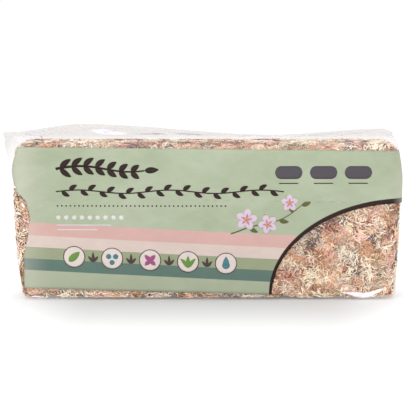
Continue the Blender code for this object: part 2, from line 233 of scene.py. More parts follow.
def mesh_object(name, points, faces, material, smooth=True, paint=None, maps=None):
    """A mesh, with a named colour attribute for its points and a map for baking where they are given."""
    data = bpy.data.meshes.new(name)
    data.from_pydata(np.asarray(points).tolist(), [], [list(map(int, face)) for face in faces])
    if smooth:
        data.shade_smooth()
    if paint:
        label, colours = paint
        layer = data.color_attributes.new(label, "FLOAT_COLOR", "POINT")
        layer.data.foreach_set("color", np.asarray(colours, np.float32).ravel())
    if maps is not None:
        layer = data.uv_layers.new(name="OFBake")
        layer.uv.foreach_set("vector", np.asarray(maps, np.float32).ravel())
    return new_object(name, data, material)


def bmesh_object(name, mesh, material):
    data = bpy.data.meshes.new(name)
    mesh.to_mesh(data)
    mesh.free()
    data.shade_smooth()
    return new_object(name, data, material)


def bridge(mesh, loops):
    """Joins each closed row of vertices to the next with quads."""
    count = len(loops[0])
    for low, high in zip(loops, loops[1:]):
        for index in range(count):
            after = (index + 1) % count
            mesh.faces.new((low[index], low[after], high[after], high[index]))


def surface_of(piece):
    """A piece's mesh, ready for finding places on it."""
    mesh = bmesh.new()
    mesh.from_mesh(piece.data)
    surface = BVHTree.FromBMesh(mesh)
    mesh.free()
    return surface


def thicken(piece, thickness):
    """Gives a sheet its thickness, inwards from its face."""
    thick = piece.modifiers.new("thick", "SOLIDIFY")
    thick.thickness = thickness
    thick.offset = -1.0
    return piece


def keep(piece, *nodes, slot=None):
    """Rides on the one body and stands for the named solids; the slot is not used."""
    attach(piece, "root")
    for node in nodes:
        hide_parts(node)
    return piece


class Nodes:
    """Short calls for building the node tree of a material, or of the world."""

    def __init__(self, name, owner=None, shader="Principled BSDF"):
        self.material = owner or bpy.data.materials.new(name)
        self.material.use_nodes = True
        self.tree = self.material.node_tree
        self.shader = self.tree.nodes[shader]

    def fill(self, socket, value):
        if isinstance(value, bpy.types.NodeSocket):
            self.tree.links.new(value, socket)
        else:
            socket.default_value = (*value, 1.0) if socket.type == "RGBA" else value

    def make(self, kind, values=(), output=0, **settings):
        """Adds a node with its settings, fills its inputs, by order or by name, and gives an output."""
        node = self.tree.nodes.new("ShaderNode" + kind)
        for key, value in settings.items():
            setattr(node, key, value)
        for key, value in values.items() if isinstance(values, dict) else enumerate(values):
            self.fill(node.inputs[key], value)
        return node.outputs[output]

    def place(self, kind="Object"):
        return self.make("TexCoord", output=kind)

    def split(self, vector):
        return self.make("SeparateXYZ", (vector,)).node.outputs

    def noise(self, place, scale, detail=3.0, roughness=0.55, distortion=0.0):
        """Noise at a scale, or at a scale for each axis."""
        if isinstance(scale, tuple):
            place, scale = self.make("Mapping", {"Vector": place, "Scale": scale}), 1.0
        values = {"Vector": place, "Scale": scale, "Detail": detail, "Roughness": roughness}
        return self.make("TexNoise", {**values, "Distortion": distortion}, "Fac")

    def attribute(self, name, output):
        return self.make("Attribute", output=output, attribute_name=name)

    def math(self, operation, first, second=0.0):
        return self.make("Math", (first, second), operation=operation)

    def range(self, value, low, high, to_low=0.0, to_high=1.0):
        return self.make("MapRange", (value, low, high, to_low, to_high), interpolation_type="SMOOTHSTEP")

    def ramp(self, value, *stops):
        made = self.make("ValToRGB", (value,))
        points = made.node.color_ramp.elements
        while len(points) < len(stops):
            points.new(0.5)
        for point, (at, colour) in zip(points, stops):
            point.position = at
            point.color = (*colour, 1.0)
        return made

    def mix(self, share, first, second, blend="MIX"):
        return self.make("Mix", {0: share, 6: first, 7: second}, 2, data_type="RGBA", blend_type=blend)

    def bump(self, height, strength, distance):
        values = {"Height": height, "Strength": strength, "Distance": distance}
        self.set(Normal=self.make("Bump", values))

    def set(self, **values):
        for key, value in values.items():
            self.fill(self.shader.inputs[key.replace("_", " ")], value)

    def see_through(self, cover, clear_colour=(1.0, 1.0, 1.0)):
        """Shows the shader by a share, and what is behind it by the rest."""
        clear = self.make("BsdfTransparent", (clear_colour,))
        blend = self.make("MixShader", (cover, clear, self.shader.outputs[0]))
        self.fill(self.tree.nodes["Material Output"].inputs["Surface"], blend)
        return self.material


# Moss: a lumpy core under strands, which grow as plants that lie over the brick

CORE_DEPTH = 2.8 * MM
CORE_LUMPS = 1.1 * MM
CORE_STEP = 3.2 * MM
SKIN_STEP = 4.5 * MM
FLAT_RINGS = 3
MOSS_CLEARANCE = 0.35 * MM
PLANTS = 1960
PLANT_STEPS = (4, 7)
STEP_LENGTH = 3.2 * MM
HEAD_BRANCHES = 6
SIDE_BRANCHES = 2
BRANCH_LENGTHS = (5.0, 10.0)
BRANCH_RADII = (0.36, 0.56)
BRANCH_POINTS = 6
BRANCH_SIDES = 3
BRANCH_FLATNESS = 0.75
BEHIND_PRINT_SHARE = 0.08
UNDERSIDE_SHARE = 0.3
PIECE_STRANDS = 7800
STRAND_DEPTH = 2.2 * MM
# Painted shade for the deeper strands, and painted light for the strands near the foot.
DEEP_SHADE = 0.46
FOOT_PAINTED_LIGHT = 0.5
FOOT_REACH = 7 * MM
MAP_MARGIN = 0.06

# Each strand colour, its weight and how much weight it gains for each unit that
# warmth * warm + darkness * dark lies above a level, where warmth and darkness are patches over the brick.
STRAND_TINTS = (
    (srgb(255, 237, 211), 5.0, 0, 0, 0, 0),
    (srgb(248, 219, 180), 2.2, 0, 0, 0, 0),
    (srgb(255, 244, 224), 3.4, 0, 0, 0, 0),
    (srgb(254, 213, 194), 2.0, 6, 1, 0, 0),
    (srgb(240, 176, 162), 1.0, 8, 1, 0, 0),
    (srgb(214, 164, 122), 1.3, 5, 0, 1, 0),
    (srgb(152, 96, 62), 0.6, 5, 0, 1, 0),
    (srgb(146, 72, 54), 0.3, 1.6, 1, 1, 0),
    (srgb(180, 156, 108), 0.3, 0.8, -1, 0, 0),
    (srgb(84, 78, 88), 0.25, 5, 0, 1, 0.06),
)


def smooth_brick(offset, step):
    """The brick's plain form as a closed triangle mesh, with faces about a step wide."""
    rings = levels(offset, 2, max(2, round(118 * MM / step)), 4)
    (low_z, low_outset), (high_z, high_outset) = rings[0], rings[-1]
    low_reach = BRICK_HALF_DEPTH + low_outset + offset
    high_reach = BRICK_HALF_DEPTH + high_outset + offset
    flat = range(1, FLAT_RINGS)
    below = [(low_z, low_outset - low_reach * (1 - share / FLAT_RINGS)) for share in flat]
    above = [(high_z, high_outset - high_reach * share / FLAT_RINGS) for share in flat]
    count = 2 * round(370 * MM / step)
    mesh = bmesh.new()
    loops = []
    for z, outset in [*below, *rings, *above]:
        ring = brick_ring(z, offset, outset)
        walk = [2 * ring.quarter * (index / count * 2 - 1) for index in range(count)]
        loops.append([mesh.verts.new((*ring.at(at), z)) for at in walk])
    bridge(mesh, loops)
    mesh.faces.new(loops[0][::-1])
    mesh.faces.new(loops[-1])
    bmesh.ops.triangulate(mesh, faces=mesh.faces)
    mesh.normal_update()
    return mesh


def moss_core(material):
    """The matted inside of the brick, seen in the gaps between the strands."""
    mesh = smooth_brick(-CORE_DEPTH, CORE_STEP)
    for vert in mesh.verts:
        lumps = noise.noise(vert.co * 260) + 0.6 * noise.noise(vert.co * 620)
        vert.co += vert.normal * CORE_LUMPS * lumps
    return bmesh_object("moss_core", mesh, material)


def window_distance(x, z):
    """About how far a place is inside the window, negative outside it."""
    across = max(0.0, (WINDOW_CENTRE_X - x) / WINDOW_HALF_WIDTH)
    up = max(0.0, (z - WINDOW_FOOT) / WINDOW_HEIGHT)
    size = math.hypot(across, up)
    slope = math.hypot(across / WINDOW_HALF_WIDTH, up / WINDOW_HEIGHT) / max(size, 1e-6)
    return (1 - size) / max(slope, 1e-6)


def behind_print(place):
    """Whether the opaque print hides a place on the moss from the front."""
    x, y, z = place
    return (
        y <= -0.6 * BRICK_HALF_DEPTH
        and x >= print_left(z) + 6 * MM
        and PRINT_FOOT + 5 * MM <= z <= PRINT_TOP - 5 * MM
        and window_distance(x, z) < -5 * MM
    )


def plant_tint(place, draw):
    """A plant's own colour, from patches that share one over the brick."""
    warm = noise.noise(place * 30 + Vector((3, 0, 0)))
    dark = noise.noise(place * 42 + Vector((0, 7, 0)))
    shares = np.array(
        [
            weight + gain * max(0.0, warm * warmth + dark * darkness - level)
            for _, weight, gain, warmth, darkness, level in STRAND_TINTS
        ]
    )
    return np.array(STRAND_TINTS[draw.choice(len(shares), p=shares / shares.sum())][0])


def plant_starts(lying, draw):
    """Places for the plants, fewer behind the print and under the foot."""
    faces = list(lying.faces)
    centres = np.array([face.calc_center_median() for face in faces])
    areas = np.array([face.calc_area() for face in faces])
    hidden = np.array([behind_print(centre) for centre in centres])
    under = centres[:, 2] < 1 * MM
    weights = areas * np.where(hidden, BEHIND_PRINT_SHARE, np.where(under, UNDERSIDE_SHARE, 1.0))
    reached = np.cumsum(weights) / weights.sum()
    chosen = np.searchsorted(reached, (np.arange(PLANTS) + draw.random(PLANTS)) / PLANTS)
    for index in np.minimum(chosen, len(faces) - 1):
        a, b, c = (vert.co for vert in faces[index].verts)
        u, v = sorted(draw.random(2))
        yield a * u + b * (v - u) + c * (1 - v)


def grow_plants(lying, surface, draw):
    """A row for each branch: base, direction, up, length, curl, turn, depth, arch, radius and colour."""
    rows = []
    for start in plant_starts(lying, draw):
        place, up, _, _ = surface.find_nearest(start)
        across = up.orthogonal().normalized()
        turn = draw.uniform(0, math.tau)
        forward = across * math.cos(turn) + up.cross(across) * math.sin(turn)
        bend = math.radians(draw.uniform(-16, 16))
        tint = plant_tint(place, draw)
        brightest = 0.98 / tint.max()
        depth = -STRAND_DEPTH * draw.random()
        length = draw.uniform(*BRANCH_LENGTHS) * MM
        thick = draw.uniform(*BRANCH_RADII) * MM
        steps = draw.integers(PLANT_STEPS[0], PLANT_STEPS[1] + 1)
        for step in range(steps):
            forward = (forward - up * forward.dot(up)).normalized()
            side = forward.cross(up)
            head = step == steps - 1
            for branch in range(HEAD_BRANCHES if head else SIDE_BRANCHES):
                hand = 1 if branch % 2 else -1
                spread = math.radians(draw.uniform(15, 140) if head else draw.uniform(30, 80))
                away = forward * math.cos(spread) + side * (math.sin(spread) * hand)
                own_depth = depth + draw.uniform(-0.5, 0.5) * MM
                # Besides a random spread, deeper strands get painted shade and strands near the foot get
                # painted light.
                gain = draw.uniform(0.9, 1.22) + DEEP_SHADE * min(0.0, own_depth / STRAND_DEPTH)
                gain += FOOT_PAINTED_LIGHT * max(1 - place.z / FOOT_REACH, 0.0)
                own_length = length * draw.uniform(0.55, 1.25) * (0.7 if head else 1.0)
                curl, twist = -hand * draw.uniform(-0.8, 2.8), draw.uniform(-2.6, 2.6)
                arch, radius = draw.uniform(0.0, 1.0) * MM, thick * draw.uniform(0.75, 1.2)
                shape = (own_length, curl, twist, own_depth, arch, radius)
                rows.append((place, away, up, *shape, tint * min(brightest, gain)))
            place, up, _, _ = surface.find_nearest(place + forward * STEP_LENGTH)
            forward = forward * math.cos(bend) + up.cross(forward) * math.sin(bend)
    return rows


def strand_lines(rows, surface):
    """The middle lines of the strands, laid over the skin, with the way up at each point."""
    lines = np.empty((len(rows), BRANCH_POINTS, 3))
    ups = np.empty_like(lines)
    last = BRANCH_POINTS - 1
    for index, (base, away, up, length, curl, turn, depth, arch, _, _) in enumerate(rows):
        side = away.cross(up)
        point = base.copy()
        heading = 0.0
        for step in range(BRANCH_POINTS):
            share = step / last
            wall, out, _, _ = surface.find_nearest(point)
            height = depth + arch * math.sin(math.pi * share) - 0.5 * MM * share**3
            lines[index, step] = wall + out * min(height, -MOSS_CLEARANCE)
            ups[index, step] = out
            heading += (curl + turn * (share - 0.5) * 2) / last
            point = point + (away * math.cos(heading) + side * math.sin(heading)) * (length / last)
    return lines, ups


def strand_corners(rows, each):
    """The triangles of one strand, each corner as its point and its place on the strand's own map."""

    def corner(row, column):
        return 1 + row * BRANCH_SIDES + column % BRANCH_SIDES, column, row + 1

    triangles = []
    for column in range(BRANCH_SIDES):
        after = column + 1
        triangles.append(((0, column + 0.5, 0), corner(0, after), corner(0, column)))
        for row in range(rows - 1):
            a, b = corner(row, column), corner(row, after)
            c, d = corner(row + 1, after), corner(row + 1, column)
            triangles += [(a, b, c), (a, c, d)]
        tip = (each - 1, column + 0.5, rows + 1)
        triangles.append((tip, corner(rows - 1, column), corner(rows - 1, after)))
    return np.array(triangles)


def strand_mesh(name, lines, ups, thick, tints, material, draw):
    """Tapered strands round their middle lines, each with a cell of the map to itself."""
    count, rows = len(lines), BRANCH_POINTS - 2
    ahead = np.gradient(lines, axis=1)
    ahead /= np.linalg.norm(ahead, axis=2, keepdims=True)
    side = np.cross(ahead, ups)
    side /= np.linalg.norm(side, axis=2, keepdims=True) + 1e-12
    up = np.cross(side, ahead)
    share = np.linspace(0, 1, BRANCH_POINTS)[1:-1]
    taper = (np.minimum(1.0, 0.45 + 2.2 * share) * np.minimum(1.0, 1.9 * (1 - share) + 0.18))[None, :]
    knots = 1 + 0.16 * draw.uniform(-1, 1, (count, rows))
    radius = (thick[:, None] * taper * knots)[..., None]
    rings = []
    for angle in (np.arange(BRANCH_SIDES) + 0.5) / BRANCH_SIDES * math.tau:
        sideways, upward = math.cos(angle) * side[:, 1:-1], BRANCH_FLATNESS * math.sin(angle) * up[:, 1:-1]
        rings.append(lines[:, 1:-1] + radius * (sideways + upward))
    inner = np.stack(rings, axis=2).reshape(count, -1, 3)
    points = np.concatenate([lines[:, :1], inner, lines[:, -1:]], axis=1)
    each = points.shape[1]
    corners = strand_corners(rows, each)
    faces = corners[..., 0].astype(int)[None] + (np.arange(count) * each)[:, None, None]
    cell = corners[..., 1:] / (BRANCH_SIDES, rows + 1)
    grid = math.ceil(math.sqrt(count))
    origin = np.stack([np.arange(count) % grid, np.arange(count) // grid], axis=1)[:, None, None, :]
    maps = (origin + MAP_MARGIN + (1 - 2 * MAP_MARGIN) * cell[None]) / grid
    lengthwise = np.concatenate([[0.0], np.repeat(share, BRANCH_SIDES), [1.0]])
    colours = np.ones((count, each, 4))
    colours[..., :3] = tints[:, None, :] * (0.9 + 0.1 * lengthwise)[None, :, None]
    points, faces = points.reshape(-1, 3), faces.reshape(-1, 3)
    return mesh_object(name, points, faces, material, paint=("tint", colours), maps=maps)


def strand_material():
    """Dry sphagnum: each strand has its own colour, painted darker as shade where it lies deep and lighter
    as light near the foot, mottled, with the low scales of its leaves.
    """
    nodes = Nodes("dry_strands")
    place = nodes.place()
    shade = nodes.ramp(nodes.noise(place, 900, 3.0, 0.6), (0.3, (0.84, 0.78, 0.72)), (0.46, (1.0, 1.0, 1.0)))
    nodes.bump(nodes.noise(place, 2600, 1.0, 0.4), 0.2, 0.2 * MM)
    nodes.set(Base_Color=nodes.mix(0.8, nodes.attribute("tint", "Color"), shade, "MULTIPLY"), Roughness=0.78)
    nodes.set(Specular_IOR_Level=0.28, Sheen_Weight=0.08)
    return nodes.material


def core_material():
    """The matted inside: short pale fibres over brown and slate gaps, whose darkness is partly the moss's
    own colour and partly painted shade.
    """
    nodes = Nodes("matted_core")
    place = nodes.place()
    patches = nodes.noise(place, 60, 3.0, 0.6, 0.4)
    fibres = nodes.noise(place, 380, 5.0, 0.7, 2.4)
    both = nodes.math("ADD", nodes.math("MULTIPLY", patches, 0.35), nodes.math("MULTIPLY", fibres, 0.65))
    # The slate and brown gap colours are partly the moss's own colour and partly painted shade between the
    # strands.
    gaps, shadows = (0.4, srgb(72, 58, 60)), (0.45, srgb(150, 104, 78))
    colour = nodes.ramp(both, gaps, shadows, (0.52, srgb(222, 174, 142)), (0.6, srgb(252, 230, 202)))
    nodes.bump(fibres, 0.9, 0.8 * MM)
    nodes.set(Base_Color=colour, Roughness=0.95, Specular_IOR_Level=0.15)
    return nodes.material


def moss():
    """The core, and the strands in a few pieces, the front's before the back's."""
    draw = np.random.default_rng(SEED)
    keep(moss_core(core_material()), "moss_block", slot="dried_moss")
    lying = smooth_brick(0.0, SKIN_STEP)
    surface = BVHTree.FromBMesh(lying)
    rows = grow_plants(lying, surface, draw)
    lying.free()
    lines, ups = strand_lines(rows, surface)
    thick, tints = np.array([row[-2] for row in rows]), np.array([row[-1] for row in rows])
    material = strand_material()
    middle = lines.mean(axis=1)
    order = np.lexsort((middle[:, 0], middle[:, 1] > 0))
    for index, chosen in enumerate(np.array_split(order, math.ceil(len(rows) / PIECE_STRANDS))):
        name, parts = f"moss_strands_{index + 1}", (values[chosen] for values in (lines, ups, thick, tints))
        keep(strand_mesh(name, *parts, material, draw), "moss_block", slot="dried_moss")


# Film

# Soft creases of the print and film: from (x, z) to (x, z), half-width and height.
CREASES = (
    (-156, 107, -138, 123, 2.3, 0.40),
    (-157, 94, -139, 104, 2.3, 0.45),
    (-147, 76, -131, 84, 2.0, 0.40),
    (-146, 60, -128, 70, 1.8, 0.25),
    (-60, 121, -34, 128, 2.2, 0.25),
    (22, 66, 46, 84, 2.2, 0.20),
    (96, 90, 128, 99, 2.2, 0.30),
    (128, 96, 156, 118, 2.0, 0.30),
    (-20, 12, 30, 17, 1.8, 0.22),
    (-120, 12, -90, 20, 2.0, 0.25),
)
FILM_FRONT_STEPS = 75
FILM_CORNER_STEPS = 6
FILM_END_STEPS = 4
GABLE_STEPS = 9
SEAL_PINCH = 0.35 * MM
PLEAT_DEPTH = 1.0 * MM
BACK_PLEAT_SHARE = 0.15
GABLE_HAZE = 0.045
LOWEST_FILM = 0.2 * MM


def crease(x, z):
    """The height of the long soft creases at a place on the front."""
    height = 0.0
    for x0, z0, x1, z1, half, proud in CREASES:
        along_x, along_z = x1 - x0, z1 - z0
        size = math.hypot(along_x, along_z)
        ahead = ((x / MM - x0) * along_x + (z / MM - z0) * along_z) / size
        aside = ((x / MM - x0) * along_z - (z / MM - z0) * along_x) / size
        if 0 < ahead < size and abs(aside) < 3 * half:
            height += proud * math.sin(math.pi * ahead / size) * math.exp(-((aside / half) ** 2))
    return height * MM


def wrinkle(place):
    """How far the film stands out of its plain form: soft crumples, drawn out along the bag, and creases."""
    x, y, z = place
    broad = noise.noise(Vector((x * 34, y * 60, z * 62)))
    fine = noise.noise(Vector((x * 90 + z * 60, y * 150, z * 120 - x * 30)))
    return (0.16 * broad + 0.07 * (1 - 2 * abs(fine))) * MM + (crease(x, z) if y < 0 else 0.0)


def crumpled(points, closed):
    """A grid of points with its wrinkles, which stand out by the walk round each row and the walk up."""
    if closed:
        round_way = np.roll(points, -1, axis=1) - np.roll(points, 1, axis=1)
    else:
        round_way = np.gradient(points, axis=1)
    normals = np.cross(round_way, np.gradient(points, axis=0))
    normals = normals / (np.linalg.norm(normals, axis=2, keepdims=True) + 1e-12)
    heave = np.array([[wrinkle(place) for place in row] for row in points])
    return points + normals * heave[..., None]


def film_walk(ring):
    """Distances round a ring, with the same number of steps on each of its parts."""
    straight = [ring.straight * step / FILM_FRONT_STEPS for step in range(FILM_FRONT_STEPS)]
    bend = [ring.straight + ring.bend * step / FILM_CORNER_STEPS for step in range(FILM_CORNER_STEPS)]
    end = ring.quarter - ring.straight - ring.bend
    last = [ring.quarter - end * (1 - step / FILM_END_STEPS) for step in range(FILM_END_STEPS)]
    half = straight + bend + last
    walk = half + [ring.quarter] + [2 * ring.quarter - at for at in half[::-1]]
    return [-at for at in walk[:0:-1]] + walk[:-1]


def gable_crease(x, share):
    """Pleats that run up the loose film to the seal, deepest half-way up."""
    slant = x + 14 * MM * share
    pleats = noise.noise(Vector((slant * 70, 0.0, 3.0))) + 0.5 * noise.noise(Vector((slant * 190, 4.0, 0.0)))
    return PLEAT_DEPTH * pleats * math.sin(math.pi * min(1.0, share))


def film_points(offset):
    """Rows of points up the bag: foot, walls, shoulder, pleated gable and seal."""
    rows = []
    for z, outset in levels(offset, 4, 52, 8):
        ring = film_ring(z, offset, outset)
        rows.append([(*ring.at(at), z) for at in film_walk(ring)])
    top_row = rows[-1]
    ends = (offset - RIDGE_LINE[0][0], offset + RIDGE_LINE[-1][0])
    seal = Ring(*ends, SEAL_HALF_DEPTH - SEAL_PINCH, CORNER_RADIUS, 0.0)
    foot_row, seal_row = [], []
    for x, y in (seal.at(at) for at in film_walk(seal)):
        lean, height = along(RIDGE_LINE, x)
        foot_row.append((x, y + lean, height - SEAL_HEIGHT))
        seal_row.append((x, y + lean, height))
    for step in range(1, GABLE_STEPS):
        share = step / GABLE_STEPS
        row = []
        for (x0, y0, z0), (x1, y1, z1) in zip(top_row, foot_row):
            x, y = x0 + (x1 - x0) * share, y0 + (y1 - y0) * share
            pleat = gable_crease(x, share) * (1.0 if y0 < 0 else BACK_PLEAT_SHARE)
            row.append((x, y, z0 + (z1 - z0) * share**0.85 + pleat))
        rows.append(row)
    middle = [tuple((a + b) / 2 for a, b in zip(low, high)) for low, high in zip(foot_row, seal_row)]
    return np.array([*rows, foot_row, middle, seal_row])


def from_vent(place, x, z):
    return math.hypot(place.x - x, place.z - z) if place.y > 0 else math.inf


def cut_vents(mesh):
    """Cuts the small round vents in the back and draws their edges onto true circles."""
    for x, z in VENT_PLACES:

        def faces_within(reach):
            return [face for face in mesh.faces if from_vent(face.calc_center_median(), x, z) < reach]

        edges = {edge for face in faces_within(2.2 * VENT_RADIUS) for edge in face.edges}
        bmesh.ops.subdivide_edges(mesh, edges=list(edges), cuts=3, use_grid_fill=True)
        inside = faces_within(VENT_RADIUS)
        rim = {vert for face in inside for vert in face.verts}
        bmesh.ops.delete(mesh, geom=inside, context="FACES")
        for vert in rim:
            if vert.is_valid:
                away = from_vent(vert.co, x, z)
                vert.co.x = x + (vert.co.x - x) * VENT_RADIUS / away
                vert.co.z = z + (vert.co.z - z) * VENT_RADIUS / away


def film_skin(material):
    """The clear film, crumpled, as a thin closed skin."""
    outer = crumpled(film_points(FILM_OFFSET), closed=True)
    outer[..., 2] = np.maximum(outer[..., 2], LOWEST_FILM)
    mesh = bmesh.new()
    loops = [[mesh.verts.new(place) for place in row] for row in outer]
    bridge(mesh, loops)
    count = len(loops[0])
    half = count // 2
    # The foot and the seal close from front to back, so no face crosses the leaning ridge.
    for loop in (loops[0], loops[-1]):
        for start in (0, half):
            for step in range(half // 2):
                low, high = start + step, start + half - step
                corners = [loop[low], loop[low + 1], loop[high - 1], loop[high % count]]
                mesh.faces.new(list(dict.fromkeys(corners)))
    bmesh.ops.recalc_face_normals(mesh, faces=mesh.faces)
    cut_vents(mesh)
    return thicken(bmesh_object("film_skin", mesh, material), FILM_SKIN)


def film_material():
    """Clear film: nearly all see-through, hazier in soft streaks and over the loose top, with a gloss."""
    nodes = Nodes("clear_film")
    place = nodes.place()
    x, _, z = nodes.split(place)
    streaks = nodes.range(nodes.noise(place, (55.0, 90.0, 120.0), 4.0, 0.6, 0.6), 0.45, 0.8, 0.01, 0.04)
    loose = nodes.range(z, BRICK_TOP - 10 * MM, BRICK_TOP - 3 * MM, 0.0, GABLE_HAZE)
    ear = nodes.range(x, -162 * MM, -167 * MM)
    ear = nodes.math("MULTIPLY", ear, nodes.range(z, 106 * MM, 139 * MM))
    veil = nodes.math("MAXIMUM", nodes.range(z, BRICK_TOP, BRICK_TOP + 4 * MM), ear)
    nodes.set(Base_Color=(0.66, 0.64, 0.66), Roughness=0.2)
    nodes.bump(nodes.noise(place, (160.0, 200.0, 240.0), 3.0, 0.55, 0.5), 0.35, 0.9 * MM)
    clear_colour = nodes.mix(veil, (0.987, 0.985, 0.986), (0.952, 0.946, 0.938))
    return nodes.see_through(nodes.math("ADD", streaks, loose), clear_colour)


# Print

PRINT_COLUMNS = 190
PRINT_WINDOW_ROWS = 50
PRINT_TOP_ROWS = 28
PRINT_TONE = 0.565
STRIPE_SLANT = 0.05
STRIPES = (
    (60 * MM, srgb(228, 186, 178)),
    (49 * MM, srgb(232, 212, 203)),
    (39 * MM, srgb(166, 174, 141)),
    (29 * MM, srgb(104, 130, 120)),
    (19 * MM, srgb(184, 193, 166)),
)
WINDOW_EDGE_SHARE = 0.022
DARK_INK = srgb(44, 24, 17)


def print_rows():
    """Heights of the printed layer's rows, close together where the window's edge is flat."""
    for step in range(PRINT_WINDOW_ROWS):
        yield WINDOW_FOOT + WINDOW_HEIGHT * math.sin(math.radians(90 * step / PRINT_WINDOW_ROWS))
    for step in range(PRINT_TOP_ROWS + 1):
        yield WINDOW_TOP + (PRINT_TOP - WINDOW_TOP) * step / PRINT_TOP_ROWS


def print_points(offset):
    """Points over the printed layer, from its left edge to the window, or round the right end."""
    grid = []
    for z in print_rows():
        ring = film_ring(z, offset, level_at(z, offset))
        left, right = ring.walk_to(print_left(z)), ring.quarter - PRINT_WRAP_DEPTH
        if left is None:
            left = -right
        if z < WINDOW_TOP:
            up = (z - WINDOW_FOOT) / WINDOW_HEIGHT
            edge = WINDOW_CENTRE_X - WINDOW_HALF_WIDTH * math.sqrt(max(0.0, 1 - up * up))
            walked = ring.walk_to(edge)
            if walked is not None:
                right = min(right, walked)
        drop = (PRINT_TOP - z) / (PRINT_TOP - PRINT_FOOT)
        slope = PRINT_TOP_SLOPE + (PRINT_FOOT_SLOPE - PRINT_TOP_SLOPE) * drop
        row = []
        for step in range(PRINT_COLUMNS + 1):
            x, y = ring.at(left + (right - left) * step / PRINT_COLUMNS)
            row.append((x, y, z + slope * x))
        grid.append(row)
    return np.array(grid)


def printed_layer(material):
    points = crumpled(print_points(PRINT_OFFSET), closed=False)
    rows, count = points.shape[:2]
    index = np.arange(rows * count).reshape(rows, count)
    quads = np.stack([index[:-1, :-1], index[:-1, 1:], index[1:, 1:], index[1:, :-1]], axis=-1)
    made = mesh_object("printed_layer", points.reshape(-1, 3), quads.reshape(-1, 4), material)
    return thicken(made, PRINT_SKIN)


def print_finish(nodes, colour):
    """Ink on film: slightly uneven in tone, satin, with fine crumples."""
    place = nodes.place()
    uneven = nodes.noise(place, (60.0, 60.0, 90.0), 4.0, 0.6, 0.4)
    tone = nodes.ramp(uneven, (0.3, (0.93 * PRINT_TONE,) * 3), (0.7, (PRINT_TONE,) * 3))
    nodes.bump(nodes.noise(place, (160.0, 200.0, 240.0), 3.0, 0.55, 0.5), 0.25, 0.9 * MM)
    nodes.set(Base_Color=nodes.mix(1.0, tone, colour, "MULTIPLY"), Roughness=0.42, Specular_IOR_Level=0.15)
    return nodes.material


def print_material():
    """Satin sage print with slanting stripes, a dark edge round the window and a painted reflection that
    pales both ends.
    """
    nodes = Nodes("printed_film")
    place = nodes.place()
    x, _, z = nodes.split(place)
    mottle = nodes.noise(place, (26.0, 26.0, 40.0), 4.0, 0.55, 0.3)
    colour = nodes.ramp(mottle, (0.3, srgb(179, 190, 160)), (0.7, srgb(193, 203, 176)))
    level = nodes.math("ADD", z, nodes.math("MULTIPLY", x, STRIPE_SLANT))
    for top, tone in STRIPES:
        colour = nodes.mix(nodes.math("LESS_THAN", level, top), colour, tone)
    across = nodes.math("DIVIDE", nodes.math("SUBTRACT", WINDOW_CENTRE_X, x), WINDOW_HALF_WIDTH)
    up = nodes.math("DIVIDE", nodes.math("SUBTRACT", z, WINDOW_FOOT), WINDOW_HEIGHT)
    squares = (nodes.math("POWER", across, 2.0), nodes.math("POWER", up, 2.0))
    size = nodes.math("SQRT", nodes.math("ADD", *squares))
    colour = nodes.mix(nodes.math("LESS_THAN", size, 1 + WINDOW_EDGE_SHARE), colour, DARK_INK)
    # Painted reflection: the print pales towards both ends, over a longer reach at the left.
    left = nodes.range(x, -166 * MM, -130 * MM, 0.3, 0.0)
    pale = nodes.math("ADD", left, nodes.range(x, 154 * MM, 166 * MM, 0.0, 0.3))
    return print_finish(nodes, nodes.mix(pale, colour, srgb(250, 244, 230)))


